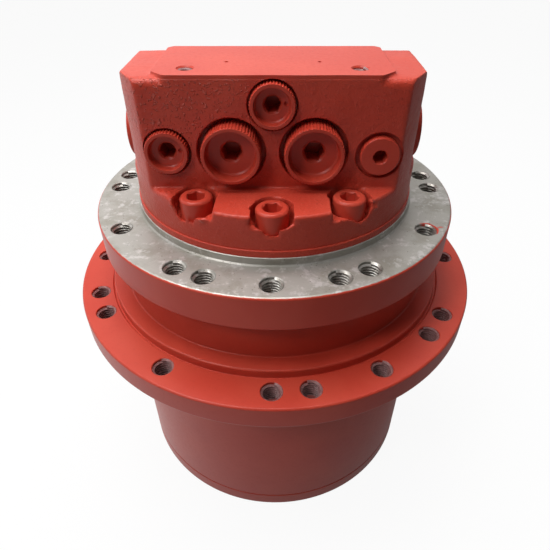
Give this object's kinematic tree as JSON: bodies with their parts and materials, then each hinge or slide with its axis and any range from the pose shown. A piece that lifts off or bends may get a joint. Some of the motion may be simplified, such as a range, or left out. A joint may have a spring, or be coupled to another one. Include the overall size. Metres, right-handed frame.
{
  "type": "hydraulic track drive motor",
  "caption": "Compact hydraulic final drive for a tracked machine: axial piston motor with port block, and a planetary gearbox inside a turning hub with a sprocket flange.",
  "frame": {"origin": "centre of the end cover's underside, where the drive stands", "axes": "+Z along the drive axis towards the port block, -Y towards the plugged front of the port block"},
  "size_m": [0.279, 0.279, 0.307],
  "materials": {
    "red_cast": "semi-gloss enamel over a rough casting",
    "red_machined": "semi-gloss enamel over a turned surface",
    "flange_steel": "bare turned iron face, red enamel on its rim",
    "gear_steel": "ground and hardened",
    "dark_steel": "phosphated",
    "bronze": "turned",
    "rubber": "matt"
  },
  "bodies": {
    "frame_side": {"spindle_housing": "flange_steel", "port_cover": "red_cast", "cover_screws": "red_machined", "relief_plugs": "red_machined", "gauge_plugs": "red_machined", "socket_plug": "red_machined", "speed_plug": "red_machined", "spool_caps": "red_machined", "bearing_inner_rings": "gear_steel", "bearing_nut": "dark_steel", "seal_ring_fixed": "dark_steel", "seal_cushion_fixed": "rubber", "output_pins": "gear_steel", "output_pin_clips": "dark_steel", "shaft_seal": "rubber", "front_bearing_outer": "gear_steel", "swash_cradle": "dark_steel", "brake_plates": "gear_steel", "brake_springs": "gear_steel", "valve_plate": "bronze", "rear_bush": "bronze", "cover_o_ring": "rubber", "relief_valves": "gear_steel"},
    "hub_side": {"hub": "red_machined", "end_cover": "red_machined", "cover_bolts": "dark_steel", "oil_plugs": "gear_steel", "thrust_pad": "bronze", "bearing_outer_rings": "gear_steel", "seal_ring_rotating": "dark_steel", "seal_cushion_rotating": "rubber"},
    "main_ball_set": {"main_bearing_balls": "gear_steel"},
    "carrier": {"planet_carrier": "dark_steel", "output_sun_gear": "gear_steel", "input_pins": "gear_steel", "input_pin_clips": "dark_steel"},
    "input_gear_1": {"input_planet_1": "gear_steel"},
    "input_gear_2": {"input_planet_2": "gear_steel"},
    "input_gear_3": {"input_planet_3": "gear_steel"},
    "output_gear_1": {"output_planet_1": "gear_steel"},
    "output_gear_2": {"output_planet_2": "gear_steel"},
    "output_gear_3": {"output_planet_3": "gear_steel"},
    "output_gear_4": {"output_planet_4": "gear_steel"},
    "motor_rotor": {"input_sun_gear": "gear_steel", "drive_shaft": "gear_steel", "ball_guide": "gear_steel", "cylinder_block": "gear_steel", "motor_pistons": "gear_steel", "front_bearing_inner": "gear_steel", "brake_discs": "bronze"},
    "front_ball_set": {"front_bearing_balls": "gear_steel"},
    "swash": {"swash_plate": "gear_steel"},
    "shoe_set": {"retainer_plate": "dark_steel", "slipper_shoes": "bronze"},
    "control": {"control_piston": "gear_steel"},
    "brake": {"brake_piston": "dark_steel"},
    "counterbalance": {"counterbalance_spool": "gear_steel"},
    "speed_valve": {"speed_spool": "gear_steel"}
  },
  "joints": [
    {"name": "hub_spin", "type": "hinge", "parent": "frame_side", "child": "hub_side", "pos_m": [0, 0, 0.128], "axis": [0, 0, 1], "continuous": true},
    {"name": "main_ball_spin", "type": "hinge", "parent": "frame_side", "child": "main_ball_set", "pos_m": [0, 0, 0.128], "axis": [0, 0, 1], "continuous": true},
    {"name": "carrier_spin", "type": "hinge", "parent": "frame_side", "child": "carrier", "pos_m": [0, 0, 0.048], "axis": [0, 0, 1], "continuous": true},
    {"name": "input_planet_1_spin", "type": "hinge", "parent": "carrier", "child": "input_gear_1", "pos_m": [0, 0.054, 0.0325], "axis": [0, 0, 1], "continuous": true},
    {"name": "input_planet_2_spin", "type": "hinge", "parent": "carrier", "child": "input_gear_2", "pos_m": [-0.04677, -0.027, 0.0325], "axis": [0, 0, 1], "continuous": true},
    {"name": "input_planet_3_spin", "type": "hinge", "parent": "carrier", "child": "input_gear_3", "pos_m": [0.04677, -0.027, 0.0325], "axis": [0, 0, 1], "continuous": true},
    {"name": "output_planet_1_spin", "type": "hinge", "parent": "frame_side", "child": "output_gear_1", "pos_m": [0.04243, 0.04243, 0.07], "axis": [0, 0, 1], "continuous": true},
    {"name": "output_planet_2_spin", "type": "hinge", "parent": "frame_side", "child": "output_gear_2", "pos_m": [-0.04243, 0.04243, 0.07], "axis": [0, 0, 1], "continuous": true},
    {"name": "output_planet_3_spin", "type": "hinge", "parent": "frame_side", "child": "output_gear_3", "pos_m": [-0.04243, -0.04243, 0.07], "axis": [0, 0, 1], "continuous": true},
    {"name": "output_planet_4_spin", "type": "hinge", "parent": "frame_side", "child": "output_gear_4", "pos_m": [0.04243, -0.04243, 0.07], "axis": [0, 0, 1], "continuous": true},
    {"name": "motor_spin", "type": "hinge", "parent": "frame_side", "child": "motor_rotor", "pos_m": [0, 0, 0.15], "axis": [0, 0, 1], "continuous": true},
    {"name": "front_ball_spin", "type": "hinge", "parent": "frame_side", "child": "front_ball_set", "pos_m": [0, 0, 0.1], "axis": [0, 0, 1], "continuous": true},
    {"name": "swash_tilt", "type": "hinge", "parent": "frame_side", "child": "swash", "pos_m": [0, 0, 0.15], "axis": [1, 0, 0], "range_deg": [-8, 0]},
    {"name": "shoe_spin", "type": "hinge", "parent": "swash", "child": "shoe_set", "pos_m": [0, 0, 0.15], "axis": [0, -0.2588, 0.9659], "continuous": true},
    {"name": "control_stroke", "type": "slide", "parent": "frame_side", "child": "control", "axis": [0, 0, 1], "range_m": [0, 0.0068]},
    {"name": "brake_release", "type": "slide", "parent": "frame_side", "child": "brake", "axis": [0, 0, 1], "range_m": [0, 0.002], "deforming": ["brake_springs"]},
    {"name": "counterbalance_shift", "type": "slide", "parent": "frame_side", "child": "counterbalance", "axis": [1, 0, 0], "range_m": [-0.005, 0.005]},
    {"name": "speed_shift", "type": "slide", "parent": "frame_side", "child": "speed_valve", "axis": [1, 0, 0], "range_m": [0, 0.004]}
  ],
  "couplings": [
    {"joint": "main_ball_spin", "follows": "hub_spin", "ratio": 0.535},
    {"joint": "carrier_spin", "follows": "hub_spin", "ratio": -3},
    {"joint": "input_planet_1_spin", "follows": "hub_spin", "ratio": 10},
    {"joint": "input_planet_2_spin", "follows": "hub_spin", "ratio": 10},
    {"joint": "input_planet_3_spin", "follows": "hub_spin", "ratio": 10},
    {"joint": "output_planet_1_spin", "follows": "hub_spin", "ratio": 3},
    {"joint": "output_planet_2_spin", "follows": "hub_spin", "ratio": 3},
    {"joint": "output_planet_3_spin", "follows": "hub_spin", "ratio": 3},
    {"joint": "output_planet_4_spin", "follows": "hub_spin", "ratio": 3},
    {"joint": "motor_spin", "follows": "hub_spin", "ratio": -23},
    {"joint": "front_ball_spin", "follows": "hub_spin", "ratio": -9.56},
    {"joint": "shoe_spin", "follows": "hub_spin", "ratio": -23},
    {"joint": "control_stroke", "follows": "swash_tilt", "m_per_rad": -0.0469}
  ]
}
